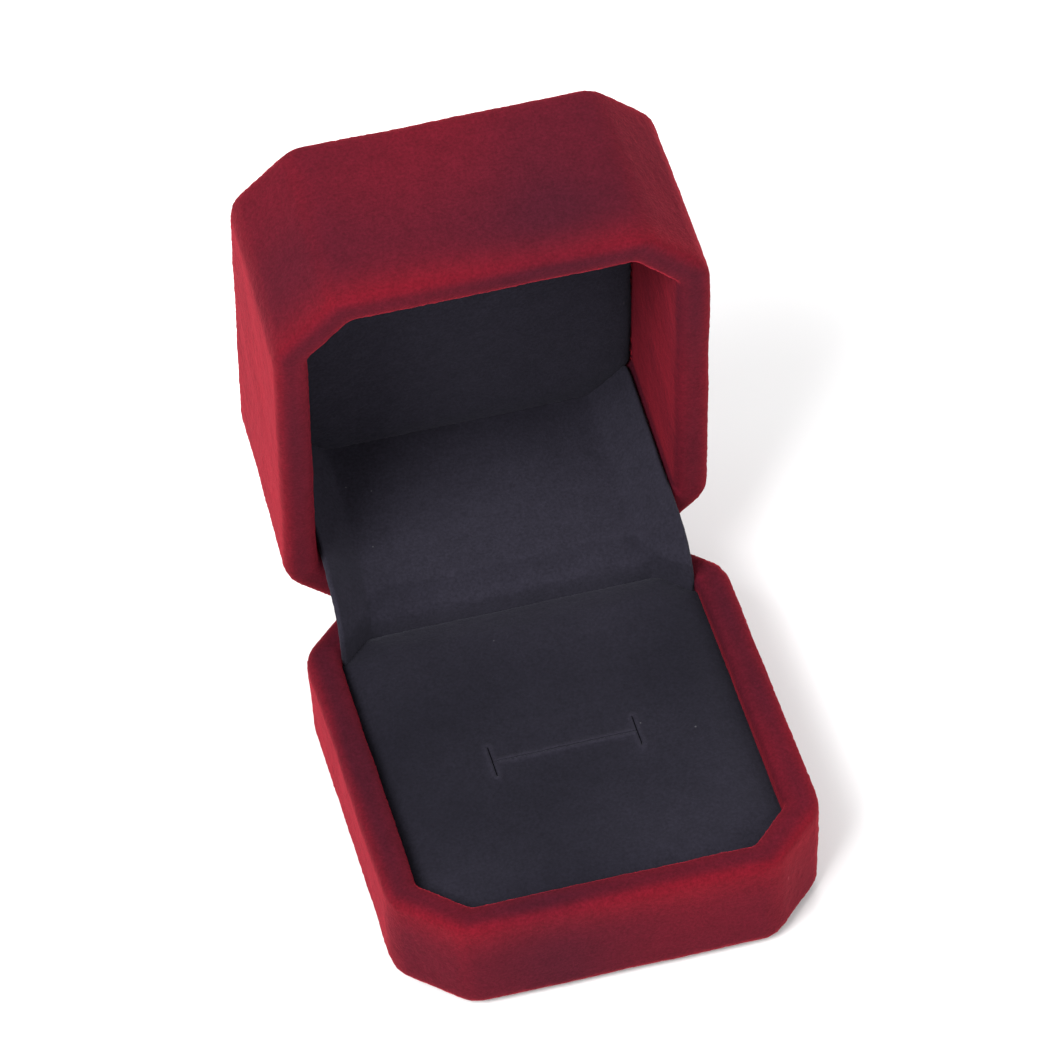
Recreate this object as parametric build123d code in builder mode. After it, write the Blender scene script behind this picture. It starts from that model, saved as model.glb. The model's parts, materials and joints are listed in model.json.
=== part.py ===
from build123d import *
import math
import os

# Ring box: an octagonal base and a deeper lid, both velvet over a moulded shell,
# joined at the back by a sprung steel hinge and held open on the hinge's stop.
# Origin: middle of the base's underside. +X right, +Y to the hinge, +Z up. Millimetres.

# Overall sizes, box closed
box_width = 55.0
box_depth = 60.0
closed_height = 41.5
base_front_height = 15.5  # table to seam at the front
seam_fall = 1.5  # the seam is this much lower at the back
corner_cut = 8.0  # leg of each cut corner
side_lean = 0.4  # each side leans in by this much, seam to far end
seam_gap = 0.3
open_angle = 82.0  # lid on its open stop

# Walls and fabric
rim_width = 4.3  # velvet, shell and velvet again
velvet = 0.8
rim_round = 2.0
plan_round = 2.6  # upright outer corners
inner_round = 0.5
floor_thickness = 1.6
foot_round = 1.8
hem_width = 7.0  # velvet turned under the base
sheet_thickness = 0.6  # paper sheet under the base
sheet_margin = 2.6

# Lid top
border_width = 2.8  # raised border round the lid's top panel
border_height = 3.0
border_round = 1.8
border_inner_round = 0.7
top_thickness = 1.6
panel_clearance = 0.3
board_thickness = 0.8
panel_foam_thickness = 0.7
panel_round = 0.7

# Pad in the base
pad_top = 12.8
pad_clearance = 0.3
pad_back_room = 1.6  # behind the pad, for the hinge cover
card_thickness = 1.0
pad_skirt = 6.0  # velvet turned down round the pad
pad_round = 0.6
slit_width = 0.6
slit_length = 18.4
slit_tick = 5.0
slit_ahead = 2.5  # slit centre, forward of the box's middle
foam_slit_width = 0.8
foam_slit_depth = 6.0

# Hinge
pin_inset = 1.6  # pin centre, in from the back face
pin_drop = 1.5  # pin centre, below the seam at the back
pin_radius = 0.6
barrel_radius = 1.1
bore_clearance = 0.05
leaf_thickness = 0.5
leaf_width = 34.0
leaf_reach = 6.6  # plate below or above its bend
base_bend_drop = 1.4  # base leaf bends this far below the pin
lid_bend_rise = 3.7  # lid leaf bends this far above the pin
notch_clearance = 0.3
notch_side = 1.5  # slot beyond each end of the hinge
knuckle_count = 5
knuckle_gap = 0.15
rivet_spread = 11.0  # rivet centres, each side of the middle
rivet_shank = 0.7
rivet_head = 1.2
rivet_head_height = 0.4
rivet_bite = 1.8
spring_thickness = 0.4
spring_width = 4.0
spring_rise = 1.55  # spring's crown above the pin
spring_foot = 1.6  # flat end on each leaf
spring_shoulder = 0.35  # spring's bend above the pin, by the base leaf
spring_lead = 0.4  # spring's other bend, short of the lid leaf's
spring_bend = 0.7

# Hinge cover
cover_width = 35.0
cover_thickness = 0.6
cover_gap = 0.2  # between the lid's inner velvet and the cover
cover_tuck = 3.4  # hangs down behind the pad
cover_crown = 2.7  # cover's middle above the pin

# Worked out from the values above
cut_share = 2 - math.sqrt(2)
seam_tilt = math.degrees(math.atan(seam_fall / box_depth))
seam_middle = base_front_height - seam_fall / 2
seam_back = base_front_height - seam_fall
pin_y = box_depth / 2 - pin_inset
pin_z = seam_back - pin_drop
shell_wall = rim_width - 2 * velvet
back_face = box_depth / 2 - velvet - shell_wall
floor_low = sheet_thickness + velvet
floor_top = floor_low + floor_thickness
top_plate_high = closed_height - border_height
top_plate_low = top_plate_high - top_thickness
base_lean = math.degrees(math.atan(side_lean / base_front_height))
lid_lean = math.degrees(math.atan(side_lean / (closed_height - seam_back)))
low_lean = side_lean * seam_back / (closed_height - seam_back)  # the lid's sides carried down to the table
lining_inset = rim_width + pad_clearance
lining_board_low = top_plate_low - board_thickness
lining_low = lining_board_low - velvet
base_leaf_bend = pin_z - base_bend_drop
lid_leaf_bend = pin_z + lid_bend_rise
base_notch = base_leaf_bend - notch_clearance
lid_notch = lid_leaf_bend + notch_clearance
notch_width = leaf_width + 2 * notch_side
leaf_y = back_face - leaf_thickness / 2
tall = 2 * closed_height

# The lid's frame: heights and places as on the closed box, turned about the pin
open_sin = math.sin(math.radians(open_angle))
open_cos = math.cos(math.radians(open_angle))


def opened(y, z):
    """Where a point of the closed lid is when the lid is open."""
    forward = y - pin_y
    rise = z - pin_z
    return (0, pin_y + forward * open_cos + rise * open_sin, pin_z - forward * open_sin + rise * open_cos)


lid_frame = Plane(origin=opened(0, 0), x_dir=(1, 0, 0), z_dir=(0, open_sin, open_cos))
lid_side = Plane(origin=opened(0, 0), x_dir=lid_frame.y_dir, z_dir=(1, 0, 0))
lid_up = Axis(lid_frame.origin, lid_frame.z_dir)
tilt_sum = math.radians(open_angle + seam_tilt)
tilt_own = math.radians(seam_tilt)


def base_rim_plane(inset):
    """The base's rim, lowered by the fabric's inset."""
    height = seam_middle - seam_gap / 2 - inset
    return Plane(origin=(0, 0, height), x_dir=(1, 0, 0), z_dir=(0, math.sin(tilt_own), math.cos(tilt_own)))


def lid_rim_plane(inset):
    """The lid's rim, raised into the lid by the fabric's inset."""
    start = opened(0, seam_middle + seam_gap / 2 + inset)
    return Plane(origin=start, x_dir=(1, 0, 0), z_dir=(0, math.sin(tilt_sum), math.cos(tilt_sum)))


def plan(inset, rounding):
    """Cut-corner plan of the box, each side moved in by inset."""
    half_x = box_width / 2 - inset
    half_y = box_depth / 2 - inset
    cut = corner_cut - inset * cut_share
    with BuildSketch() as outline:
        Polygon(
            (half_x - cut, -half_y),
            (half_x, cut - half_y),
            (half_x, half_y - cut),
            (half_x - cut, half_y),
            (cut - half_x, half_y),
            (-half_x, half_y - cut),
            (-half_x, cut - half_y),
            (cut - half_x, -half_y),
            align=None,
        )
        fillet(outline.vertices(), rounding)
    return outline.sketch


def finish(part, name):
    """Label a piece and write it."""
    part.label = name
    export_step(part, f"parts/{name}.step")


def base_tub(inset):
    """Base walls and floor, every covered face moved in by inset."""
    foot = sheet_thickness + inset
    with BuildPart() as tub:
        with BuildSketch(Plane.XY.offset(foot)):
            add(plan(side_lean + inset, plan_round - inset))
        extrude(amount=closed_height, taper=-base_lean)
        split(bisect_by=base_rim_plane(inset), keep=Keep.BOTTOM)
        with BuildSketch(Plane.XY.offset(floor_top)):
            add(plan(rim_width - inset, inner_round + inset))
        extrude(amount=tall, mode=Mode.SUBTRACT)
        fillet(tub.faces().sort_by(Axis.Z)[-1].edges(), rim_round - inset)
        fillet(tub.faces().sort_by(Axis.Z)[0].edges(), foot_round - inset)
    return tub.part


def lid_tub(inset):
    """Lid walls, top and border, every covered face moved in by inset."""
    with BuildPart() as tub:
        with BuildSketch(lid_frame.offset(0)):
            add(plan(inset - low_lean, plan_round - inset))
        extrude(amount=closed_height - inset, taper=lid_lean)
        split(bisect_by=lid_rim_plane(inset), keep=Keep.TOP)
        with BuildSketch(lid_frame.offset(0)):
            add(plan(rim_width - inset, inner_round + inset))
        extrude(amount=top_plate_low, mode=Mode.SUBTRACT)
        with BuildSketch(lid_frame.offset(top_plate_high)):
            add(plan(side_lean + border_width - inset, inner_round))
        extrude(amount=tall, mode=Mode.SUBTRACT)
        fillet(tub.faces().sort_by(lid_up)[0].edges(), rim_round - inset)
        border = tub.faces().sort_by(lid_up)[-1]
        fillet(border.outer_wire().edges(), border_round - inset)
        if inset == 0:
            border = tub.faces().sort_by(lid_up)[-1]
            fillet(border.inner_wires()[0].edges(), border_inner_round)
    return tub.part


def hinge_slot(side, low, high):
    """Opening through a back wall for the hinge's barrel."""
    middle = (box_depth / 2 + back_face) / 2
    depth = 2 * (box_depth / 2 - back_face + velvet)
    with BuildSketch(side) as slot:
        with Locations((middle, (low + high) / 2)):
            Rectangle(depth, high - low)
    extrude(slot.sketch, amount=notch_width / 2, both=True, mode=Mode.SUBTRACT)


def leaf_room(side, low, high):
    """Strip of the inner velvet left out behind a hinge leaf."""
    with BuildSketch(side) as strip:
        with Locations((back_face - velvet, (low + high) / 2)):
            Rectangle(2 * velvet, high - low)
    extrude(strip.sketch, amount=notch_width / 2, both=True, mode=Mode.SUBTRACT)


def rivet_holes(side, height, mode):
    """Blind holes, or shanks, from a leaf's face into the wall behind it."""
    start = side.from_local_coords((back_face - leaf_thickness, height, 0))
    with BuildSketch(Plane(start, x_dir=(1, 0, 0), z_dir=side.x_dir)) as holes:
        with Locations((-rivet_spread, 0), (rivet_spread, 0)):
            Circle(rivet_shank)
    extrude(holes.sketch, amount=leaf_thickness + rivet_bite, mode=mode)


base_rivet_height = base_leaf_bend - leaf_reach / 2
lid_rivet_height = lid_leaf_bend + leaf_reach / 2


def make_base_shell():
    """Moulded tub with a raised foot inside the turned-under hem."""
    with BuildPart() as base_shell:
        add(base_tub(velvet))
        with BuildSketch(Plane.XY.offset(sheet_thickness)):
            add(plan(side_lean + hem_width, inner_round))
        extrude(amount=velvet)
        hinge_slot(Plane.YZ, base_notch, closed_height)
        rivet_holes(Plane.YZ, base_rivet_height, Mode.SUBTRACT)
    return base_shell.part


def make_base_velvet(shell):
    """Red velvet over the outside and the rim, and down the inside."""
    with BuildPart() as base_velvet:
        add(base_tub(0))
        add(shell, mode=Mode.SUBTRACT)
        hinge_slot(Plane.YZ, base_notch, closed_height)
        leaf_room(Plane.YZ, floor_top, closed_height)
        rivet_holes(Plane.YZ, base_rivet_height, Mode.SUBTRACT)
    return base_velvet.part


def make_underside_sheet():
    """Flocked paper that hides the hem."""
    with BuildPart() as underside_sheet:
        with BuildSketch():
            add(plan(side_lean + sheet_margin, inner_round))
        extrude(amount=sheet_thickness)
    return underside_sheet.part


pad_inset = rim_width + pad_clearance
card_top = pad_top - velvet
foam_top = card_top - card_thickness
pad_back = box_depth / 2 - rim_width - pad_back_room


def pad_block(inset, low, high, mode=Mode.ADD):
    """Pad outline between two heights, its back edge short of the hinge."""
    with BuildSketch(Plane.XY.offset(low)) as outline:
        add(plan(pad_inset + inset, inner_round))
        with Locations((0, pad_back - inset + box_depth / 2)):
            Rectangle(box_width, box_depth, mode=Mode.SUBTRACT)
    extrude(outline.sketch, amount=high - low, mode=mode)


def ring_slit(low, high):
    """H-shaped cut that grips the ring."""
    with BuildSketch(Plane.XY.offset(low)) as slit:
        with Locations((0, -slit_ahead)):
            Rectangle(slit_length, slit_width)
        with Locations((-slit_length / 2, -slit_ahead), (slit_length / 2, -slit_ahead)):
            Rectangle(slit_width, slit_tick)
    extrude(slit.sketch, amount=high - low, mode=Mode.SUBTRACT)


def make_pad_foam():
    """Foam block with a plain slit below the card's."""
    with BuildPart() as pad_foam:
        pad_block(velvet, floor_top, foam_top)
        with BuildSketch(Plane.XY.offset(foam_top - foam_slit_depth)):
            with Locations((0, -slit_ahead)):
                Rectangle(slit_length, foam_slit_width)
        extrude(amount=foam_slit_depth, mode=Mode.SUBTRACT)
    return pad_foam.part


def make_pad_card():
    """Stiff card on the foam."""
    with BuildPart() as pad_card:
        pad_block(velvet, foam_top, card_top)
        ring_slit(foam_top, card_top)
    return pad_card.part


def make_pad_velvet():
    """Black velvet over the card, turned down round the foam."""
    with BuildPart() as pad_velvet:
        pad_block(0, pad_top - pad_skirt, pad_top)
        fillet(pad_velvet.faces().sort_by(Axis.Z)[-1].edges(), pad_round)
        pad_block(velvet, pad_top - pad_skirt, card_top, mode=Mode.SUBTRACT)
        ring_slit(card_top, pad_top)
    return pad_velvet.part


knuckle_pitch = leaf_width / knuckle_count
knuckle_length = knuckle_pitch - knuckle_gap


def hinge_leaf(side, bend, far, first):
    """Bent steel plate with every second knuckle of the barrel."""
    with BuildPart() as leaf:
        with BuildSketch(side):
            with Locations((leaf_y, (bend + far) / 2)):
                Rectangle(leaf_thickness, abs(far - bend))
        extrude(amount=leaf_width / 2, both=True)
        for number in range(first, knuckle_count, 2):
            start = number * knuckle_pitch + knuckle_gap / 2 - leaf_width / 2
            with BuildSketch(side.offset(start)):
                with BuildLine():
                    Line((leaf_y, bend), (pin_y, pin_z))
                trace(line_width=leaf_thickness)
                with Locations((pin_y, pin_z)):
                    Circle(barrel_radius)
            extrude(amount=knuckle_length)
        with BuildSketch(side.offset(-leaf_width)):
            with Locations((pin_y, pin_z)):
                Circle(pin_radius + (bore_clearance if first else 0))
        extrude(amount=2 * leaf_width, mode=Mode.SUBTRACT)
        rivet_holes(side, (bend + far) / 2, Mode.SUBTRACT)
    return leaf.part


def make_hinge_pin():
    """Steel pin through all the knuckles, tight in the base leaf's."""
    with BuildPart() as hinge_pin:
        with BuildSketch(Plane.YZ):
            with Locations((pin_y, pin_z)):
                Circle(pin_radius)
        extrude(amount=leaf_width / 2, both=True)
        fillet(hinge_pin.edges().filter_by(GeomType.CIRCLE), pin_radius / 3)
    return hinge_pin.part


def make_rivets(side, height):
    """Two headed brads that hold a leaf to its shell."""
    start = side.from_local_coords((back_face - leaf_thickness - rivet_head_height, height, 0))
    with BuildPart() as rivets:
        rivet_holes(side, height, Mode.ADD)
        with BuildSketch(Plane(start, x_dir=(1, 0, 0), z_dir=side.x_dir)):
            with Locations((-rivet_spread, 0), (rivet_spread, 0)):
                Circle(rivet_head)
        extrude(amount=rivet_head_height)
    return rivets.part


def make_hinge_spring():
    """Bowed spring strip from leaf to leaf, over the barrel's inner side."""
    foot_y = leaf_y - (leaf_thickness + spring_thickness) / 2
    with BuildPart() as hinge_spring:
        with BuildSketch(Plane.YZ):
            with BuildLine():
                FilletPolyline(
                    (foot_y, base_leaf_bend - spring_foot),
                    (foot_y, pin_z + spring_shoulder),
                    (pin_y, pin_z + spring_rise),
                    opened(foot_y, lid_leaf_bend - spring_lead)[1:],
                    opened(foot_y, lid_leaf_bend + spring_foot)[1:],
                    radius=spring_bend,
                )
            trace(line_width=spring_thickness)
        extrude(amount=spring_width / 2, both=True)
    return hinge_spring.part


def make_hinge_cover():
    """Black velvet: behind the pad, over the hinge, up the lid's back wall and cut corners."""
    tuck_y = pad_back + pad_back_room / 2
    cover_y = box_depth / 2 - rim_width - cover_gap - cover_thickness / 2
    cover_bend = lid_leaf_bend - spring_lead - cover_thickness
    side_limit = box_depth / 2 - corner_cut
    with BuildPart() as hinge_cover:
        with BuildSketch(Plane.YZ):
            with BuildLine():
                FilletPolyline(
                    (tuck_y, pad_top - cover_tuck),
                    (tuck_y, pad_top + cover_thickness / 2),
                    (pin_y, pin_z + cover_crown),
                    opened(cover_y, cover_bend)[1:],
                    opened(cover_y, lid_leaf_bend + spring_foot)[1:],
                    radius=cover_thickness,
                )
            trace(line_width=cover_thickness)
        extrude(amount=cover_width / 2, both=True)
        with BuildSketch(lid_frame.offset(lid_leaf_bend)):
            add(plan(rim_width + cover_gap, inner_round))
            add(plan(rim_width + cover_gap + cover_thickness, inner_round), mode=Mode.SUBTRACT)
            with Locations((0, side_limit - box_depth / 2)):
                Rectangle(box_width, box_depth, mode=Mode.SUBTRACT)
        extrude(amount=lining_low - lid_leaf_bend)
    return hinge_cover.part


def make_lid_shell():
    """Moulded lid with an upstand round its top."""
    with BuildPart() as lid_shell:
        add(lid_tub(velvet))
        hinge_slot(lid_side, 0, lid_notch)
        rivet_holes(lid_side, lid_rivet_height, Mode.SUBTRACT)
    return lid_shell.part


def make_lid_velvet(shell):
    """Red velvet from the border, over the outside and rim, up the inside."""
    with BuildPart() as lid_velvet:
        add(lid_tub(0))
        add(shell, mode=Mode.SUBTRACT)
        hinge_slot(lid_side, 0, lid_notch)
        leaf_room(lid_side, 0, top_plate_low)
        rivet_holes(lid_side, lid_rivet_height, Mode.SUBTRACT)
    return lid_velvet.part


panel_inset = side_lean + border_width + panel_clearance
board_high = top_plate_high + board_thickness
panel_foam_high = board_high + panel_foam_thickness
panel_high = panel_foam_high + velvet


def lid_layer(inset, low, high):
    """Flat layer of the lid between two heights of the closed box."""
    with BuildPart() as layer:
        with BuildSketch(lid_frame.offset(low)):
            add(plan(inset, inner_round))
        extrude(amount=high - low)
    return layer.part


def make_top_panel_velvet():
    """Red velvet over the panel's foam and round the board's edge."""
    with BuildPart() as top_panel_velvet:
        add(lid_layer(panel_inset, top_plate_high, panel_high))
        fillet(top_panel_velvet.faces().sort_by(lid_up)[-1].edges(), panel_round)
        add(lid_layer(panel_inset + velvet, top_plate_high, panel_foam_high), mode=Mode.SUBTRACT)
    return top_panel_velvet.part


def make_lining_velvet():
    """Black velvet under the lid's top, turned round its card."""
    with BuildPart() as lid_lining_velvet:
        add(lid_layer(lining_inset, lining_low, top_plate_low))
        add(lid_layer(lining_inset + velvet, lining_board_low, top_plate_low), mode=Mode.SUBTRACT)
    return lid_lining_velvet.part


os.makedirs("parts", exist_ok=True)
base_shell = make_base_shell()
lid_shell = make_lid_shell()
finish(base_shell, "base_shell")
finish(make_base_velvet(base_shell), "base_velvet")
finish(make_underside_sheet(), "base_underside_sheet")
finish(make_pad_foam(), "ring_pad_foam")
finish(make_pad_card(), "ring_pad_card")
finish(make_pad_velvet(), "ring_pad_velvet")
finish(hinge_leaf(Plane.YZ, base_leaf_bend, base_leaf_bend - leaf_reach, 0), "base_hinge_leaf")
finish(hinge_leaf(lid_side, lid_leaf_bend, lid_leaf_bend + leaf_reach, 1), "lid_hinge_leaf")
finish(make_hinge_pin(), "hinge_pin")
finish(make_rivets(Plane.YZ, base_rivet_height), "base_hinge_rivets")
finish(make_rivets(lid_side, lid_rivet_height), "lid_hinge_rivets")
finish(make_hinge_spring(), "hinge_spring")
finish(make_hinge_cover(), "hinge_cover")
finish(lid_shell, "lid_shell")
finish(make_lid_velvet(lid_shell), "lid_velvet")
finish(lid_layer(panel_inset + velvet, top_plate_high, board_high), "top_panel_board")
finish(lid_layer(panel_inset + velvet, board_high, panel_foam_high), "top_panel_foam")
finish(make_top_panel_velvet(), "top_panel_velvet")
finish(lid_layer(lining_inset + velvet, lining_board_low, top_plate_low), "lid_lining_board")
finish(make_lining_velvet(), "lid_lining_velvet")
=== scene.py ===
import json
import math

import bpy
from mathutils import Matrix, Vector


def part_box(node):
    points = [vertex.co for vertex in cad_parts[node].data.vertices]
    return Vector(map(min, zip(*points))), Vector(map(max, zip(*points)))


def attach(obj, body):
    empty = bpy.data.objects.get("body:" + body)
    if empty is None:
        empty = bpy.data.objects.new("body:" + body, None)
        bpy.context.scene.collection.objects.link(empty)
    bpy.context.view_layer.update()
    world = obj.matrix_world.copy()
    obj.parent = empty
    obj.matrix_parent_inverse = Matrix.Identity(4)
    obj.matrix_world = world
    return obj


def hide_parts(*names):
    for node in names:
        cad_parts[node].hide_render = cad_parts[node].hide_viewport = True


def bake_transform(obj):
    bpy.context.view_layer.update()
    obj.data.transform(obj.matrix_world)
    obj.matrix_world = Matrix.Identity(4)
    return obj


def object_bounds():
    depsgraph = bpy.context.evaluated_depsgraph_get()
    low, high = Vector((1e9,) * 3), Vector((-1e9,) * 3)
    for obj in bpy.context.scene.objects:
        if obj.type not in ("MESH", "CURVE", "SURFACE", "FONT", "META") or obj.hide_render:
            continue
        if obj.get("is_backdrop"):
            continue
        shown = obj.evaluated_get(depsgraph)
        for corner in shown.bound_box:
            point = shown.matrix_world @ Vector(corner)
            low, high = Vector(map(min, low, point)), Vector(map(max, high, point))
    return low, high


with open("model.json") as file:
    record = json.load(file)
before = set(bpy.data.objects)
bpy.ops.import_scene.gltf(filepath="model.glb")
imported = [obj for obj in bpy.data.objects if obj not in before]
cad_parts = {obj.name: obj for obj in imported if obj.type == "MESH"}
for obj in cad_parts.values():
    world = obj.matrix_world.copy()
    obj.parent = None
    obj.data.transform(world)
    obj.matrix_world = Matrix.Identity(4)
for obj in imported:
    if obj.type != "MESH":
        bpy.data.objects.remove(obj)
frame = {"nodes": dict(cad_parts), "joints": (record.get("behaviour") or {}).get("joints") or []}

# Ring box: red velvet base and lid, black velvet ring pad, lid lining and hinge cover.
# Metres. +X right, +Y to the hinge, +Z up. Lid pieces are shaped on the closed box, then opened.

MM = 0.001
cad_low, cad_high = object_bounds()

# Outline, seam and rims
rim_width = 4.3 * MM
corner_cut = 8.0 * MM
side_lean = 0.4 * MM
seam_gap = 0.3 * MM
seam_fall = 1.5 * MM
bevel_unit = 1.9 * MM  # edge marks hold their rounding as a share of this
rim_edge_round = 1.1 * MM
upright_round = 2.1 * MM
foot_round = 1.7 * MM
border_width = 2.9 * MM
border_round = 1.5 * MM
border_inner_round = 0.9 * MM

# Velvet glued to the shells
hem_width = 6.6 * MM  # turned under at the foot
skin_thickness = 0.7 * MM
skin_mesh = 0.5 * MM
wrap_patch = 9 * MM
wrap_unevenness = 0.24 * MM
pile_patch = 0.6 * MM
pile_unevenness = 0.17 * MM

# Hinge cover
cover_thickness = 0.6 * MM
cover_gap = 0.15 * MM
cloth_spacing = 3.0 * MM
lid_lip = 1.0 * MM  # the cover's lid part starts this far above the seam
base_lip = 1.0 * MM  # and its base part ends this far above the pad
tuck = 0.5 * MM  # under the edge of the lid's lining
base_tuck = 3 * MM  # down behind the pad
bridge_rows = 5

# Ring pad
slit_length = 18.4 * MM
slit_tick = 5.0 * MM
slit_width = 0.16 * MM
slit_depth = 0.2 * MM  # below the velvet's flat top, which swells above it
tick_depth = -0.3 * MM  # the cross cuts stop in the swell
slit_middle = -2.5 * MM
lip_height = 0.25 * MM
lip_reach = 0.7 * MM
# how far the painted highlight on the slit's lips spreads
lip_highlight_reach = 0.45 * MM
pad_press = 0.45 * MM  # the pile touches the walls
pad_fall = 0.5 * MM  # its edges lie lower than its middle
pad_fall_reach = 3.0 * MM
pad_edge_round = 1.0 * MM
pad_swell = 0.5 * MM

# The lid's padded pieces
panel_edge_round = 1.5 * MM
panel_swell = 0.6 * MM
lining_edge_round = 0.7 * MM
lining_swell = 0.4 * MM
lining_held = 1.5 * MM  # the lining's edge, which stays flat

# Filling a pad

puff_scale = 20  # the cloth solver suits pieces about a metre wide
puff_pressure = 4.0
puff_frames = 20
puff_mesh = 0.8 * MM
puff_regain = 0.3 * MM  # what the smoothing took off

joint = frame["joints"][0]
pin = Vector(joint["pos_m"])
open_angle = math.radians(joint["range_deg"][1])
open_lid = Matrix.Translation(pin) @ Matrix.Rotation(-open_angle, 4, "X") @ Matrix.Translation(-pin)

# Where the hinge's leaves bend, and the row spacing of the spring strip
leaf_bend_low = pin.z - 1.35 * MM
leaf_bend_high = pin.z + 3.75 * MM
spring_row = 0.4 * MM

base_low, base_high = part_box("base_velvet")
half_width = base_high.x
half_depth = base_high.y
seam_front = base_high.z + seam_gap / 2
seam_middle = seam_front - seam_fall / 2
seam_back = seam_front - seam_fall
seam_normal = Vector((0, seam_fall, 2 * half_depth)).normalized()


def closed_box(node):
    """Lowest and highest corner of a lid node with the lid closed."""
    close_lid = open_lid.inverted()
    corners = [close_lid @ vertex.co for vertex in frame["nodes"][node].data.vertices]
    low = Vector([min(c[axis] for c in corners) for axis in range(3)])
    high = Vector([max(c[axis] for c in corners) for axis in range(3)])
    return low, high


lid_high = closed_box("lid_velvet")[1]
board_low = closed_box("top_panel_board")[0]
lining_low, lining_high = closed_box("lid_lining_velvet")
pad_low, pad_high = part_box("ring_pad_velvet")
floor_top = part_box("ring_pad_foam")[0].z
leaf_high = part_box("base_hinge_leaf")[1]


def inside_by(x, y, inset=0.0):
    """How far a point stands inside the cut-corner outline."""
    to_side = half_width - inset - abs(x)
    to_end = half_depth - inset - abs(y)
    to_corner = (to_side + to_end - corner_cut + inset * (2 - math.sqrt(2))) / math.sqrt(2)
    return min(to_side, to_end, to_corner)


def to_seam(point, height):
    """How far a point is above or below the seam's slope through this middle height."""
    return abs(point.z + point.y * seam_fall / (2 * half_depth) - height)


# Modelling steps


def block(name, low, high):
    """A block between two corners, to be shaped."""
    bpy.ops.object.select_all(action="DESELECT")
    middle = (Vector(low) + Vector(high)) / 2
    bpy.ops.mesh.primitive_cube_add(size=1, location=middle)
    piece = bpy.context.object
    piece.name = name
    piece.scale = Vector(high) - Vector(low)
    bpy.ops.object.transform_apply(location=True, rotation=True, scale=True)
    return piece


def clear_picks(piece, mode):
    """Leave edit mode and let go of everything; mode is 1 for edges and 2 for faces."""
    if piece.mode == "EDIT":
        bpy.ops.object.mode_set(mode="OBJECT")
    bpy.context.tool_settings.mesh_select_mode = (False, mode == 1, mode == 2)
    for parts in (piece.data.vertices, piece.data.edges, piece.data.polygons):
        parts.foreach_set("select", [False] * len(parts))


def pick_edges(piece, wanted):
    """Pick the edges whose two ends pass."""
    clear_picks(piece, 1)
    points = piece.data.vertices
    for edge in piece.data.edges:
        edge.select = wanted(points[edge.vertices[0]].co, points[edge.vertices[1]].co)
    bpy.ops.object.mode_set(mode="EDIT")


def pick_faces(piece, wanted):
    """Pick the faces whose middle and normal pass."""
    clear_picks(piece, 2)
    for face in piece.data.polygons:
        face.select = wanted(face.center, face.normal)
    bpy.ops.object.mode_set(mode="EDIT")


def put_down(piece):
    """Back to object mode."""
    if piece.mode == "EDIT":
        bpy.ops.object.mode_set(mode="OBJECT")


def bevel_edges(piece, width, wanted, steps=1):
    """Bevel the edges that pass."""
    pick_edges(piece, wanted)
    bpy.ops.mesh.bevel(offset=width, offset_type="OFFSET", segments=steps, affect="EDGES")
    put_down(piece)


def mark_edges(piece, width, wanted):
    """Note how far the edges that pass are to be rounded."""
    marks = piece.data.attributes.get("bevel_weight_edge")
    if marks is None:
        marks = piece.data.attributes.new("bevel_weight_edge", "FLOAT", "EDGE")
    points = piece.data.vertices
    for edge in piece.data.edges:
        if wanted(points[edge.vertices[0]].co, points[edge.vertices[1]].co):
            marks.data[edge.index].value = width / bevel_unit


def round_marked(piece):
    """Round all the marked edges at once, so that they run into each other."""
    settings = {"width": bevel_unit, "segments": 5, "limit_method": "WEIGHT", "use_clamp_overlap": False}
    finish_with(piece, "BEVEL", **settings)


def drop_faces(piece, wanted):
    """Delete the faces that pass."""
    pick_faces(piece, wanted)
    bpy.ops.mesh.delete(type="FACE")
    put_down(piece)


def upright(a, b):
    """An edge that runs straight up."""
    return abs(a.z - b.z) > MM and abs(a.x - b.x) < MM and abs(a.y - b.y) < MM


def on_outside(point):
    """A point on the box's outer sides, lean included."""
    return inside_by(point.x, point.y) < 1.2 * side_lean


def finish_with(piece, kind, **settings):
    """Add a modifier and apply it."""
    bpy.ops.object.select_all(action="DESELECT")
    piece.select_set(True)
    bpy.context.view_layer.objects.active = piece
    modifier = piece.modifiers.new(kind.lower(), kind)
    for key, value in settings.items():
        setattr(modifier, key, value)
    bpy.ops.object.modifier_apply(modifier=modifier.name)


def cut_corners(piece, cut):
    """Take off the four upright corners."""
    bevel_edges(piece, cut, upright)


def lean_in(piece, height, lean):
    """Draw one end of the block in, so that its sides lean."""
    pick_faces(piece, lambda middle, normal: abs(middle.z - height) < MM / 10)
    share = Vector((1 - lean / half_width, 1 - lean / half_depth, 1))
    bpy.ops.transform.resize(value=share, center_override=(0, 0, height))
    put_down(piece)


def hollow(piece, wanted, wall, depth):
    """Inset an end face and push it in."""
    pick_faces(piece, wanted)
    bpy.ops.mesh.inset(thickness=wall, depth=0)
    bpy.ops.mesh.extrude_region_move(TRANSFORM_OT_translate={"value": (0, 0, depth)})
    put_down(piece)


def cut_off(piece, height, keep_below):
    """Cut the piece along the sloping seam."""
    clear_picks(piece, 2)
    bpy.ops.object.mode_set(mode="EDIT")
    bpy.ops.mesh.select_all(action="SELECT")
    bpy.ops.mesh.bisect(
        plane_co=(0, 0, height),
        plane_no=seam_normal,
        use_fill=True,
        clear_outer=keep_below,
        clear_inner=not keep_below,
    )
    put_down(piece)


def take_away(piece, cutter):
    """Cut one shape out of another."""
    finish_with(piece, "BOOLEAN", operation="DIFFERENCE", object=cutter, solver="EXACT")
    bpy.data.objects.remove(cutter)


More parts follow.
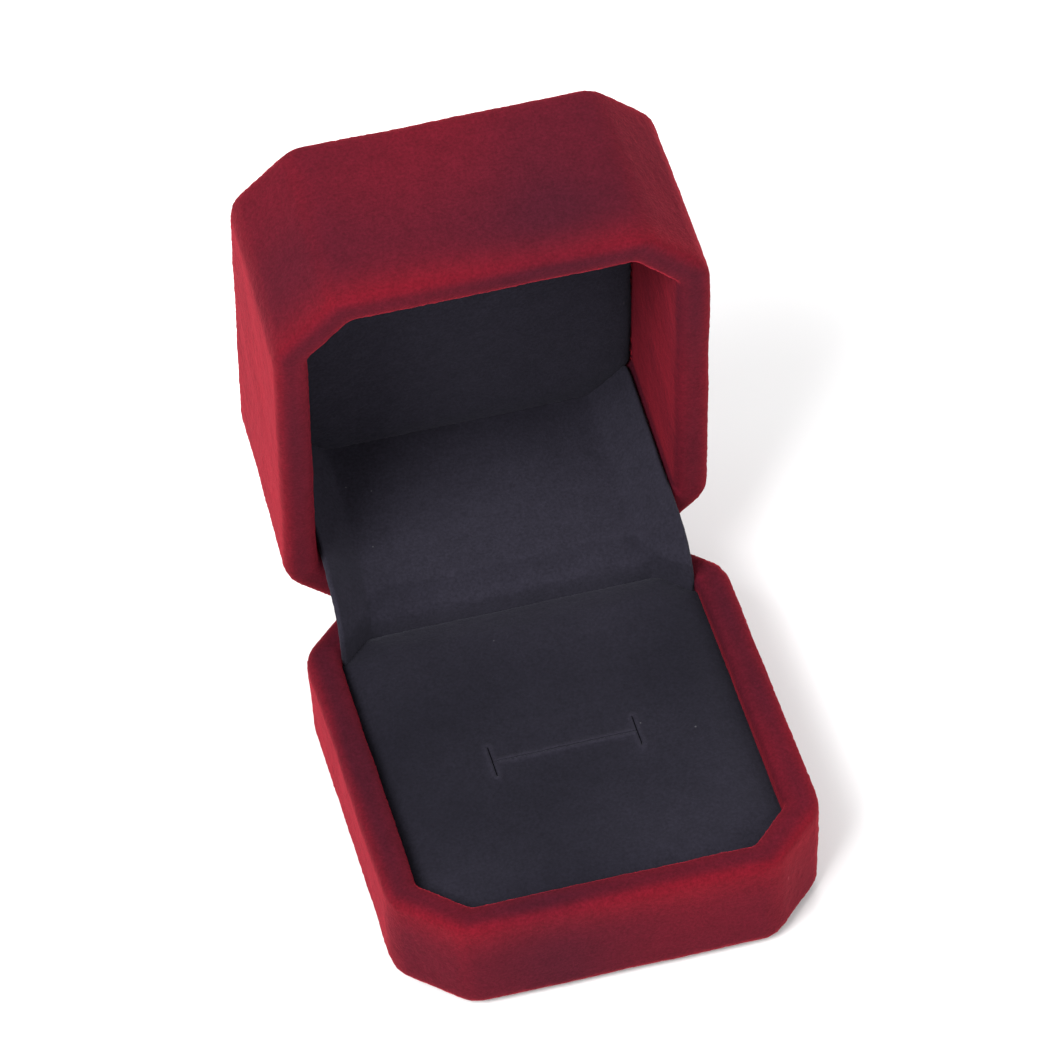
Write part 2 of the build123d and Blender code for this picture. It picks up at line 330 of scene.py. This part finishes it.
def even_mesh(piece, size, smooth=2):
    """Remake the surface as an even net of small faces."""
    finish_with(piece, "REMESH", mode="VOXEL", voxel_size=size, use_smooth_shade=True)
    finish_with(piece, "SMOOTH", factor=0.5, iterations=smooth)


def uneven(piece, name, size, amount):
    """Move the surface in and out by a soft noise."""
    noise = bpy.data.textures.new(name, "CLOUDS")
    noise.noise_scale = size
    noise.noise_depth = 1
    settings = {"texture": noise, "texture_coords": "LOCAL", "strength": amount, "mid_level": 0.5}
    finish_with(piece, "DISPLACE", **settings)


def thicken(piece, thickness):
    """Give a cloth its thickness, on its hidden side."""
    finish_with(piece, "SOLIDIFY", thickness=thickness, offset=-1, use_even_offset=True, use_rim=True)


def puff(piece, held, most):
    """Fill a pad by cloth simulation, held where its board or foam holds it, and swelling by most."""
    before = [point.co.copy() for point in piece.data.vertices]
    group = piece.vertex_groups.new(name="held")
    group.add([number for number, place in enumerate(before) if held(place)], 1.0, "REPLACE")
    piece.data.transform(Matrix.Scale(puff_scale, 4))
    bpy.ops.object.select_all(action="DESELECT")
    piece.select_set(True)
    bpy.context.view_layer.objects.active = piece
    cloth = piece.modifiers.new("cloth", "CLOTH")
    cloth.settings.quality = 5
    cloth.settings.mass = 0.3
    cloth.settings.use_pressure = True
    cloth.settings.uniform_pressure_force = puff_pressure
    cloth.settings.vertex_group_mass = group.name
    cloth.settings.effector_weights.gravity = 0
    cloth.point_cache.frame_start = 1
    cloth.point_cache.frame_end = puff_frames
    for frame_number in range(1, puff_frames + 1):
        bpy.context.scene.frame_set(frame_number)
    bpy.ops.object.modifier_apply(modifier=cloth.name)
    bpy.context.scene.frame_set(1)
    piece.data.transform(Matrix.Scale(1 / puff_scale, 4))
    for point, place in zip(piece.data.vertices, before):
        move = point.co - place
        if move.length > most:
            point.co = place + move * (most / move.length)
    piece.vertex_groups.clear()
    finish_with(piece, "SMOOTH", factor=0.5, iterations=2)
    finish_with(piece, "SUBSURF", levels=1, render_levels=1)
    finish_with(piece, "DISPLACE", strength=puff_regain, mid_level=0.0)


def smooth_all(piece):
    """Smooth shading all over."""
    bpy.ops.object.select_all(action="DESELECT")
    piece.select_set(True)
    bpy.context.view_layer.objects.active = piece
    bpy.ops.object.shade_smooth()


def open_with_lid(piece):
    """Turn a piece shaped on the closed box to where the open lid holds it."""
    piece.data.transform(open_lid)
    piece.data.update()


def velvet_nap(piece):
    """Hand-wrapped cloth: slightly uneven, with a rough pile."""
    uneven(piece, "wrap", wrap_patch, wrap_unevenness)
    uneven(piece, "pile", pile_patch, pile_unevenness)


def store_painted_light(piece, painted_shading):
    """Store painted light and shade at each point: below 0 painted shade, above 0 painted light."""
    painted_layer = piece.data.attributes.new("painted_light_shade", "FLOAT", "POINT")
    painted_layer.data.foreach_set("value", [painted_shading(point.co, point.normal) for point in piece.data.vertices])


def near(distance, reach):
    """One at no distance, falling off smoothly over the reach."""
    return math.exp(-((distance / reach) ** 2))


def box_painted_shading(rim_height, rim_side):
    """Painted shade on inner walls, in the crease by the border and on front faces; darker along the rims'
    flat tops; painted highlights along the rounded edges.
    """
    def painted_shading(place, normal):
        depth = inside_by(place.x, place.y)
        to_rim = to_seam(place, rim_height)
        # Darker along the rim's flat top, most at the rim's middle.
        on_rim = near(to_rim, 1.2 * MM) * max(0.0, rim_side * normal.z) ** 2
        rim_middle = 0.45 + 0.55 * near(depth - 0.5 * rim_width, 1.1 * MM)
        # Painted highlights along the rim edges and the cut corners.
        edge = near(to_rim, 3.5 * MM) * near(depth, 1.0 * MM)
        corner = near(abs(abs(normal.x) - abs(normal.y)) - 0.38, 0.25) * near(depth, 1.2 * MM)
        # Painted shade on the inner walls.
        inner_wall_shade = near(depth - rim_width, 1.2 * MM) * (1 - abs(normal.z))
        to_top = abs(place.z - lid_high.z)
        # Painted highlight along the top edge; painted shade in the crease by the border and on front faces
        # away from the rim.
        top_edge_highlight = near(to_top, 2.2 * MM) * near(depth, 1.1 * MM)
        crease_shade = near(to_top, 3 * MM) * near(depth - border_width, 0.9 * MM)
        front_shade = max(0.0, -normal.y) * near(depth, 1.5 * MM) * (1 - near(to_rim, 4 * MM))
        edge_highlights = 0.75 * edge + 0.5 * top_edge_highlight + 0.3 * corner
        return edge_highlights - 0.7 * on_rim * rim_middle - 1.2 * inner_wall_shade - 0.7 * crease_shade - 0.5 * front_shade
    return painted_shading


# Finishes


def new_material(name):
    """An empty material with its shader and its coordinates."""
    material = bpy.data.materials.new(name)
    material.use_nodes = True
    nodes = material.node_tree.nodes
    shader = nodes["Principled BSDF"]
    where = nodes.new("ShaderNodeTexCoord")
    return material, nodes, material.node_tree.links, shader, where


def noise_node(nodes, links, where, scale, detail=2.0, roughness=0.5):
    """A noise fixed to the piece."""
    noise = nodes.new("ShaderNodeTexNoise")
    noise.inputs["Scale"].default_value = scale
    noise.inputs["Detail"].default_value = detail
    noise.inputs["Roughness"].default_value = roughness
    links.new(where.outputs["Object"], noise.inputs["Vector"])
    return noise


def ramp_node(nodes, links, source, low, high, start=0.3, end=0.7):
    """Two colours, blended by a value."""
    ramp = nodes.new("ShaderNodeValToRGB")
    ramp.color_ramp.elements[0].position = start
    ramp.color_ramp.elements[0].color = (*low, 1)
    ramp.color_ramp.elements[1].position = end
    ramp.color_ramp.elements[1].color = (*high, 1)
    links.new(source, ramp.inputs["Fac"])
    return ramp


def mix_node(nodes, links, blend, amount, a, b):
    """One colour laid over another."""
    mix = nodes.new("ShaderNodeMix")
    mix.data_type = "RGBA"
    mix.blend_type = blend
    if isinstance(amount, float):
        mix.inputs["Factor"].default_value = amount
    else:
        links.new(amount, mix.inputs["Factor"])
    links.new(a, mix.inputs["A"])
    links.new(b, mix.inputs["B"])
    return mix.outputs["Result"]


def bump_node(nodes, links, shader, height, distance, strength):
    """Fine relief."""
    bump = nodes.new("ShaderNodeBump")
    bump.inputs["Strength"].default_value = strength
    bump.inputs["Distance"].default_value = distance
    links.new(height, bump.inputs["Height"])
    links.new(bump.outputs["Normal"], shader.inputs["Normal"])


def velvet_material(name, shaded, lit, lint, sheen, sheen_tint, sheen_spread):
    """Short pile: painted shade and painted light blended from the shaded and lit copies of its colour,
    brushed patches, fine mottling, grain and a little lint.
    """
    material, nodes, links, shader, where = new_material(name)
    brushed = noise_node(nodes, links, where, 38, detail=1)
    mottled = noise_node(nodes, links, where, 420, detail=3, roughness=0.6)
    grain = noise_node(nodes, links, where, 2600, detail=2, roughness=0.7)
    # Painted light and shade stored on the mesh, added to the brushed patches.
    painted_shading = nodes.new("ShaderNodeAttribute")
    painted_shading.attribute_name = "painted_light_shade"
    shading_and_patches = nodes.new("ShaderNodeMath")
    shading_and_patches.operation = "MULTIPLY_ADD"
    shading_and_patches.inputs[1].default_value = 0.35
    links.new(painted_shading.outputs["Fac"], shading_and_patches.inputs[0])
    links.new(brushed.outputs["Fac"], shading_and_patches.inputs[2])
    # Painted shade and painted light: the tone runs from the shaded copy to the lit copy of the colour.
    tone = ramp_node(nodes, links, shading_and_patches.outputs["Value"], shaded, lit, 0.15, 0.85)
    mottle = ramp_node(nodes, links, mottled.outputs["Fac"], (0.92,) * 3, (1.08,) * 3)
    speckle = ramp_node(nodes, links, grain.outputs["Fac"], (0.78,) * 3, (1.22,) * 3)
    colour = mix_node(nodes, links, "MULTIPLY", 1.0, tone.outputs["Color"], mottle.outputs["Color"])
    colour = mix_node(nodes, links, "MULTIPLY", 1.0, colour, speckle.outputs["Color"])
    combed = nodes.new("ShaderNodeMapping")
    combed.inputs["Rotation"].default_value = (0.5, 0.9, 0.7)
    combed.inputs["Scale"].default_value = (1, 1, 0.3)
    links.new(where.outputs["Object"], combed.inputs["Vector"])
    fluff = nodes.new("ShaderNodeTexVoronoi")
    fluff.inputs["Scale"].default_value = 260
    links.new(combed.outputs["Vector"], fluff.inputs["Vector"])
    dot = ramp_node(nodes, links, fluff.outputs["Distance"], (0.6,) * 3, (0,) * 3, 0.015, 0.04)
    few = ramp_node(nodes, links, fluff.outputs["Color"], (0,) * 3, (1,) * 3, 0.6, 0.64)
    specks = mix_node(nodes, links, "MULTIPLY", 1.0, dot.outputs["Color"], few.outputs["Color"])
    lint_colour = nodes.new("ShaderNodeRGB")
    lint_colour.outputs[0].default_value = (*lint, 1)
    colour = mix_node(nodes, links, "MIX", specks, colour, lint_colour.outputs[0])
    links.new(colour, shader.inputs["Base Color"])
    shader.inputs["Roughness"].default_value = 0.95
    shader.inputs["Specular IOR Level"].default_value = 0.1
    shader.inputs["Sheen Weight"].default_value = sheen
    shader.inputs["Sheen Roughness"].default_value = sheen_spread
    shader.inputs["Sheen Tint"].default_value = (*sheen_tint, 1)
    bump_node(nodes, links, shader, grain.outputs["Fac"], 0.12 * MM, 0.6)
    return material


def grained_material(name, dark, light, grain_scale, roughness, metallic=0.0, relief=0.03 * MM):
    """A plain finish with cloudy tone, fine grain and relief."""
    material, nodes, links, shader, where = new_material(name)
    cloudy = noise_node(nodes, links, where, 90, detail=3)
    grain = noise_node(nodes, links, where, grain_scale, detail=3, roughness=0.65)
    tone = ramp_node(nodes, links, cloudy.outputs["Fac"], dark, light)
    fine = ramp_node(nodes, links, grain.outputs["Fac"], (0.8,) * 3, (1.15,) * 3)
    colour = mix_node(nodes, links, "MULTIPLY", 0.9, tone.outputs["Color"], fine.outputs["Color"])
    links.new(colour, shader.inputs["Base Color"])
    rough = nodes.new("ShaderNodeMapRange")
    rough.inputs["To Min"].default_value = roughness - 0.08
    rough.inputs["To Max"].default_value = roughness + 0.1
    links.new(grain.outputs["Fac"], rough.inputs["Value"])
    links.new(rough.outputs["Result"], shader.inputs["Roughness"])
    shader.inputs["Metallic"].default_value = metallic
    bump_node(nodes, links, shader, grain.outputs["Fac"], relief, 0.5)
    return material


# shaded and lit are painted-shade and painted-light copies of each velvet's colour.
red_velvet = velvet_material(
    "red_velvet",
    shaded=(0.05, 0.0045, 0.0115),
    lit=(0.13, 0.004, 0.0105),
    lint=(0.4, 0.13, 0.14),
    sheen=0.52,
    sheen_tint=(1.0, 0.045, 0.08),
    sheen_spread=0.33,
)
black_velvet = velvet_material(
    "black_velvet",
    shaded=(0.0078, 0.0072, 0.0118),
    lit=(0.021, 0.0192, 0.029),
    lint=(0.12, 0.12, 0.13),
    sheen=0.05,
    sheen_tint=(0.8, 0.8, 1.0),
    sheen_spread=0.5,
)
shell_plastic = grained_material("shell_plastic", (0.012, 0.012, 0.013), (0.03, 0.03, 0.032), 900, 0.5)
dark_paper = grained_material("dark_paper", (0.014, 0.014, 0.017), (0.028, 0.028, 0.032), 1500, 0.9)
grey_card = grained_material("grey_card", (0.3, 0.28, 0.25), (0.46, 0.44, 0.4), 1200, 0.85)
pale_foam = grained_material("pale_foam", (0.5, 0.48, 0.42), (0.68, 0.66, 0.6), 1400, 0.95, 0.0, 0.2 * MM)
hinge_steel = grained_material("hinge_steel", (0.42, 0.4, 0.36), (0.6, 0.58, 0.54), 1800, 0.36, 1.0)
rivet_steel = grained_material("rivet_steel", (0.5, 0.47, 0.4), (0.66, 0.62, 0.54), 2200, 0.3, 1.0)
spring_steel = grained_material("spring_steel", (0.3, 0.31, 0.33), (0.46, 0.47, 0.5), 2000, 0.28, 1.0)


def wear(piece, material):
    """The piece's one finish."""
    piece.data.materials.clear()
    piece.data.materials.append(material)


# Base and lid


def hinge_notch(low, high):
    """Where the hinge passes through a back wall."""
    reach = leaf_high.x + MM
    front = half_depth - 1.5 * rim_width
    return block("notch", (-reach, front, low), (reach, half_depth + rim_width, high))


def behind_leaf(middle, normal):
    """Inner back wall that the hinge leaf lies on."""
    inner_wall = half_depth - rim_width
    within = abs(middle.x) < leaf_high.x + 0.5 * MM and abs(middle.y - inner_wall) < 0.5 * MM
    return within and normal.y < -0.8


def rim_edges(piece_height):
    """Both edge rings of a rim."""
    def found(a, b):
        return all(to_seam(point, piece_height) < 0.3 * MM for point in (a, b))
    return found


def border_ring(outer):
    """One edge ring of the border on the lid's top."""
    def found(a, b):
        on_top = min(a.z, b.z) > lid_high.z - MM / 10
        outermost = border_width / 2
        return on_top and all((inside_by(point.x, point.y) < outermost) == outer for point in (a, b))
    return found


def outer_upright(a, b):
    """An upright edge on the box's outside."""
    return upright(a, b) and on_outside(a) and on_outside(b)


def make_base():
    """Velvet over the base: sides, foot, rim and down inside."""
    low = (-half_width, -half_depth, base_low.z)
    base = block("base_velvet_wrap", low, (half_width, half_depth, seam_front + MM))
    cut_corners(base, corner_cut)
    lean_in(base, base_low.z, side_lean)
    rim_height = seam_middle - seam_gap / 2
    cut_off(base, rim_height, keep_below=True)
    hollow(base, lambda middle, normal: normal.z > 0.9, rim_width, floor_top - seam_back)
    mark_edges(base, upright_round, outer_upright)
    mark_edges(base, rim_edge_round, rim_edges(rim_height))
    mark_edges(base, foot_round, lambda a, b: max(a.z, b.z) < base_low.z + MM / 10)
    round_marked(base)
    take_away(base, hinge_notch(leaf_bend_low, lid_high.z))
    even_mesh(base, skin_mesh)
    velvet_nap(base)
    # Painted shade in the recesses, crease and front, and painted highlights along the edges.
    store_painted_light(base, box_painted_shading(rim_height, 1))
    well = seam_back - 6 * MM
    drop_faces(base, lambda middle, normal: normal.z > 0.7 and middle.z < well)
    drop_faces(base, lambda middle, normal: normal.z < -0.7 and inside_by(*middle.xy) > hem_width)
    drop_faces(base, behind_leaf)
    thicken(base, skin_thickness)
    smooth_all(base)
    wear(base, red_velvet)
    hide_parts("base_velvet")
    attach(base, "base")


def make_lid():
    """Velvet over the lid: border, sides, rim and up inside."""
    low = (-half_width, -half_depth, seam_back - MM)
    lid = block("lid_velvet_wrap", low, (half_width, half_depth, lid_high.z))
    cut_corners(lid, corner_cut)
    lean_in(lid, lid_high.z, side_lean)
    rim_height = seam_middle + seam_gap / 2
    cut_off(lid, rim_height, keep_below=False)
    hollow(lid, lambda middle, normal: normal.z < -0.9, rim_width, lining_high.z - seam_middle)
    top = lambda middle, normal: normal.z > 0.9 and middle.z > lining_high.z
    hollow(lid, top, border_width, board_low.z - lid_high.z)
    mark_edges(lid, upright_round, outer_upright)
    mark_edges(lid, rim_edge_round, rim_edges(rim_height))
    mark_edges(lid, border_round, border_ring(outer=True))
    mark_edges(lid, border_inner_round, border_ring(outer=False))
    round_marked(lid)
    take_away(lid, hinge_notch(0, leaf_bend_high))
    even_mesh(lid, skin_mesh)
    velvet_nap(lid)
    # Painted shade in the recesses, crease and front, and painted highlights along the edges.
    store_painted_light(lid, box_painted_shading(rim_height, -1))
    ceiling = lining_high.z - MM
    drop_faces(lid, lambda middle, normal: normal.z < -0.7 and middle.z > ceiling)
    recess = board_low.z + MM
    drop_faces(lid, lambda middle, normal: normal.z > 0.7 and ceiling < middle.z < recess)
    drop_faces(lid, behind_leaf)
    thicken(lid, skin_thickness)
    open_with_lid(lid)
    smooth_all(lid)
    wear(lid, red_velvet)
    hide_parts("lid_velvet")
    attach(lid, "lid")


# Padded pieces


def make_top_panel():
    """Padded panel in the lid's top."""
    panel_low, panel_high = closed_box("top_panel_velvet")
    inset = half_width - panel_high.x
    panel = block("top_panel_pad", panel_low, panel_high)
    cut_corners(panel, corner_cut - inset * (2 - math.sqrt(2)))
    top = lambda point: point.z > panel_high.z - MM / 10
    bevel_edges(panel, panel_edge_round, lambda a, b: top(a) and top(b), steps=3)
    even_mesh(panel, puff_mesh)
    puff(panel, lambda place: place.z < panel_high.z - MM / 2, panel_swell)
    velvet_nap(panel)
    # Painted shade along the panel's edge, in the crease by the border.
    store_painted_light(panel, lambda place, normal: -0.8 * near(inside_by(place.x, place.y, inset), 1.1 * MM))
    open_with_lid(panel)
    smooth_all(panel)
    wear(panel, red_velvet)
    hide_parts("top_panel_velvet")
    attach(panel, "lid")


def cut_corner_block(name, inset, low, high, back=None):
    """A block with the box's cut corners, its sides moved in by inset and its back edge at back."""
    natural_back = half_depth - inset
    if back is None:
        back = natural_back
    piece = block(name, (inset - half_width, inset - half_depth, low), (half_width - inset, back, high))
    cut = corner_cut - inset * (2 - math.sqrt(2))
    at_back = lambda point: point.y > half_depth / 2 and abs(point.x) > half_width / 2
    bevel_edges(piece, cut, lambda a, b: upright(a, b) and a.y < 0)
    bevel_edges(piece, cut - natural_back + back, lambda a, b: upright(a, b) and at_back(a))
    return piece


def slit_distance(x, y):
    """How far a point is from the middle of the ring's slit."""
    along = abs(x) - slit_length / 2
    across = abs(y - slit_middle)
    bar = math.hypot(max(along, 0), across)
    tick = math.hypot(along, max(across - slit_tick / 2, 0))
    return min(bar, tick)


def slit_cutter():
    """The slit's H shape: a bar with a tick across each end."""
    cutter = slit_bar("bar", 0, slit_length, slit_width, pad_high.z - slit_depth)
    for side in (-1, 1):
        tick = slit_bar("tick", side * slit_length / 2, slit_width, slit_tick, pad_high.z - tick_depth)
        finish_with(cutter, "BOOLEAN", operation="UNION", object=tick, solver="EXACT")
        bpy.data.objects.remove(tick)
    return cutter


def slit_bar(name, middle, wide, deep, bottom):
    """One straight cut of the slit."""
    low = (middle - wide / 2, slit_middle - deep / 2, bottom)
    return block(name, low, (middle + wide / 2, slit_middle + deep / 2, lid_high.z))


def make_ring_pad():
    """Black padded velvet with the ring's slit."""
    inset = half_width - pad_high.x - pad_press
    pad = cut_corner_block("ring_pad_velvet_top", inset, pad_low.z, pad_high.z, pad_high.y)
    on_top = lambda point: point.z > pad_high.z - MM / 10
    bevel_edges(pad, pad_edge_round, lambda a, b: on_top(a) and on_top(b), steps=3)
    even_mesh(pad, puff_mesh)
    puff(pad, lambda place: place.z < pad_high.z - MM / 2, pad_swell)
    for point in pad.data.vertices:
        place = point.co
        if place.z > pad_high.z - 1.5 * MM:
            edge = max(0.0, min(inside_by(place.x, place.y, inset), pad_high.y - place.y))
            place.z -= pad_fall * math.exp(-edge / pad_fall_reach)
            place.z += lip_height * near(slit_distance(place.x, place.y), lip_reach)
    velvet_nap(pad)
    # Painted highlight on the slit's lips; the rest of the pad painted darker.
    store_painted_light(pad, lambda place, normal: 1.8 * near(slit_distance(place.x, place.y), lip_highlight_reach) - 0.35)
    take_away(pad, slit_cutter())
    drop_faces(pad, lambda middle, normal: normal.z < -0.7 and middle.z < pad_low.z + MM)
    smooth_all(pad)
    wear(pad, black_velvet)
    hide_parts("ring_pad_velvet")
    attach(pad, "base")


def make_lid_lining():
    """Black padded panel under the lid's top."""
    inset = half_width - lining_high.x
    lining = block("lid_lining_pad", lining_low, lining_high)
    cut_corners(lining, corner_cut - inset * (2 - math.sqrt(2)))
    low = lambda point: point.z < lining_low.z + MM / 10
    bevel_edges(lining, lining_edge_round, lambda a, b: low(a) and low(b), steps=3)
    even_mesh(lining, puff_mesh)
    by_wall = inset + lining_held
    held = lambda place: place.z > lining_low.z + MM / 2 or inside_by(place.x, place.y) < by_wall
    puff(lining, held, lining_swell)
    velvet_nap(lining)
    # Painted light: the whole lining lightened against the shade inside the lid.
    store_painted_light(lining, lambda place, normal: 1.3)
    open_with_lid(lining)
    smooth_all(lining)
    wear(lining, black_velvet)
    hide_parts("lid_lining_velvet")
    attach(lining, "lid")


def back_strip(name, inset, low, high, back=None):
    """The back wall and cut corners of the outline, between two heights."""
    strip = cut_corner_block(name, inset, low, high, back)
    drop_faces(strip, lambda middle, normal: abs(normal.z) > 0.5 or normal.y < 0.5)
    return strip


def cut_rows(piece, normal, first, last, spacing):
    """Divide a cloth by a row of cuts."""
    clear_picks(piece, 2)
    bpy.ops.object.mode_set(mode="EDIT")
    count = max(1, round((last - first) / spacing))
    for number in range(1, count):
        bpy.ops.mesh.select_all(action="SELECT")
        place = Vector(normal) * (first + (last - first) * number / count)
        bpy.ops.mesh.bisect(plane_co=place, plane_no=normal)
    put_down(piece)


def make_hinge_cover():
    """Black velvet from behind the pad, over the hinge and up the lid's back and cut corners."""
    lid_inset = rim_width + cover_thickness / 2 + cover_gap
    lid_edge = seam_middle + lid_lip
    base_edge = pad_high.z + base_lip
    tucked_low = pad_high.z - base_tuck
    cover = back_strip("hinge_cover_cloth", lid_inset, lid_edge, lining_low.z + tuck)
    cut_rows(cover, (0, 0, 1), lid_edge, lining_low.z + tuck, cloth_spacing)
    open_with_lid(cover)
    behind_pad = pad_high.y + 0.4 * MM
    tucked = back_strip("tucked", rim_width + 0.1 * MM, tucked_low, base_edge, behind_pad)
    cut_rows(tucked, (0, 0, 1), tucked_low, base_edge, cloth_spacing)
    bpy.ops.object.select_all(action="DESELECT")
    tucked.select_set(True)
    cover.select_set(True)
    bpy.context.view_layer.objects.active = cover
    bpy.ops.object.join()
    close_lid = open_lid.inverted()

    def on_base(point):
        return abs(point.z - base_edge) < MM / 100 and point.y < half_depth - rim_width + MM

    def on_lid(point):
        return abs((close_lid @ point).z - lid_edge) < MM / 100

    def facing(a, b):
        return (on_base(a) and on_base(b)) or (on_lid(a) and on_lid(b))

    pick_edges(cover, facing)
    bpy.ops.mesh.bridge_edge_loops(number_cuts=bridge_rows, interpolation="PATH", smoothness=0.6)
    put_down(cover)
    cut_rows(cover, (1, 0, 0), -half_width, half_width, cloth_spacing)
    finish_with(cover, "SUBSURF", levels=2, render_levels=2)
    finish_with(cover, "SMOOTH", factor=0.5, iterations=6)
    velvet_nap(cover)
    # Painted light: the cover a little lighter, and more so above the lid edge's height.
    store_painted_light(cover, lambda place, normal: 0.1 + 0.5 * (place.z > lid_edge))
    thicken(cover, cover_thickness)
    smooth_all(cover)
    wear(cover, black_velvet)
    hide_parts("hinge_cover")
    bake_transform(cover)


def make_hinge_spring():
    """The spring strip, cut into fine rows."""
    rest_shape = frame["nodes"]["hinge_spring"].data.copy()
    spring = bpy.data.objects.new("hinge_spring_strip", rest_shape)
    bpy.context.scene.collection.objects.link(spring)
    bpy.ops.object.select_all(action="DESELECT")
    spring.select_set(True)
    bpy.context.view_layer.objects.active = spring
    bpy.ops.object.mode_set(mode="EDIT")
    bpy.ops.mesh.select_all(action="SELECT")
    bpy.ops.mesh.remove_doubles(threshold=MM / 1000)
    put_down(spring)
    spring_low, spring_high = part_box("hinge_spring")
    cut_rows(spring, (0, 0, 1), spring_low.z, spring_high.z, spring_row)
    cut_rows(spring, (0, 1, 0), spring_low.y, spring_high.y, spring_row)
    wear(spring, spring_steel)
    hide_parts("hinge_spring")
    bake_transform(spring)


make_base()
make_lid()
make_top_panel()
make_ring_pad()
make_lid_lining()
make_hinge_cover()
make_hinge_spring()

node_finishes = {
    "base_shell": shell_plastic,
    "lid_shell": shell_plastic,
    "base_underside_sheet": dark_paper,
    "ring_pad_card": grey_card,
    "top_panel_board": grey_card,
    "lid_lining_board": grey_card,
    "ring_pad_foam": pale_foam,
    "top_panel_foam": pale_foam,
    "base_hinge_leaf": hinge_steel,
    "lid_hinge_leaf": hinge_steel,
    "hinge_pin": rivet_steel,
    "base_hinge_rivets": rivet_steel,
    "lid_hinge_rivets": rivet_steel,
}
for node, material in node_finishes.items():
    wear(frame["nodes"][node], material)


# Stage, lights and camera


floor_size = 6


def make_floor():
    """A pale floor that the box stands on."""
    bpy.ops.object.select_all(action="DESELECT")
    bpy.ops.mesh.primitive_plane_add(size=floor_size, location=(0, 0, cad_low.z))
    floor = bpy.context.object
    floor.name = "floor"
    bpy.ops.object.transform_apply(location=True, rotation=True, scale=True)
    material, nodes, links, shader, where = new_material("floor_paper")
    tone = noise_node(nodes, links, where, 3)
    shade = ramp_node(nodes, links, tone.outputs["Fac"], (0.86, 0.86, 0.865), (0.9, 0.9, 0.9))
    links.new(shade.outputs["Color"], shader.inputs["Base Color"])
    shader.inputs["Roughness"].default_value = 0.9
    wear(floor, material)
    floor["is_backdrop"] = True


def make_light(name, place, size, power):
    """A square soft light aimed at the box's middle."""
    data = bpy.data.lights.new(name, "AREA")
    data.shape = "SQUARE"
    data.size = size
    data.energy = power
    light = bpy.data.objects.new(name, data)
    bpy.context.scene.collection.objects.link(light)
    light.location = place
    light.rotation_mode = "QUATERNION"
    light.rotation_quaternion = (box_middle - Vector(place)).to_track_quat("-Z", "Y")


view_azimuth = math.radians(-12.35)
view_elevation = math.radians(45.5)
view_roll = math.radians(3.1)
view_distance = 0.877
lens = 246.0
box_middle = (cad_low + cad_high) / 2


def make_camera():
    """A long lens, from above the front left."""
    back = Vector(
        (
            math.sin(view_azimuth) * math.cos(view_elevation),
            -math.cos(view_azimuth) * math.cos(view_elevation),
            math.sin(view_elevation),
        )
    )
    data = bpy.data.cameras.new("camera")
    data.lens = lens
    camera = bpy.data.objects.new("camera", data)
    bpy.context.scene.collection.objects.link(camera)
    camera.location = box_middle + back * view_distance
    camera.rotation_mode = "QUATERNION"
    look = (-back).to_track_quat("-Z", "Y")
    roll = Matrix.Rotation(-view_roll, 4, "Z").to_quaternion()
    camera.rotation_quaternion = look @ roll
    bpy.context.scene.camera = camera


make_floor()
make_light("key", (-0.55, -0.45, 0.75), size=0.5, power=14)
make_light("fill", (0.7, -0.5, 0.5), size=0.6, power=4)
make_light("back", (0.1, 0.8, 0.7), size=0.6, power=5)
world = bpy.data.worlds.new("studio")
world.use_nodes = True
world.node_tree.nodes["Background"].inputs["Color"].default_value = (1, 1, 1, 1)
world.node_tree.nodes["Background"].inputs["Strength"].default_value = 0.6
bpy.context.scene.world = world
bpy.context.scene.view_settings.view_transform = "Standard"
make_camera()

low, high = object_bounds()
{"cad": [list(cad_low), list(cad_high)], "visual": [list(low), list(high)]}
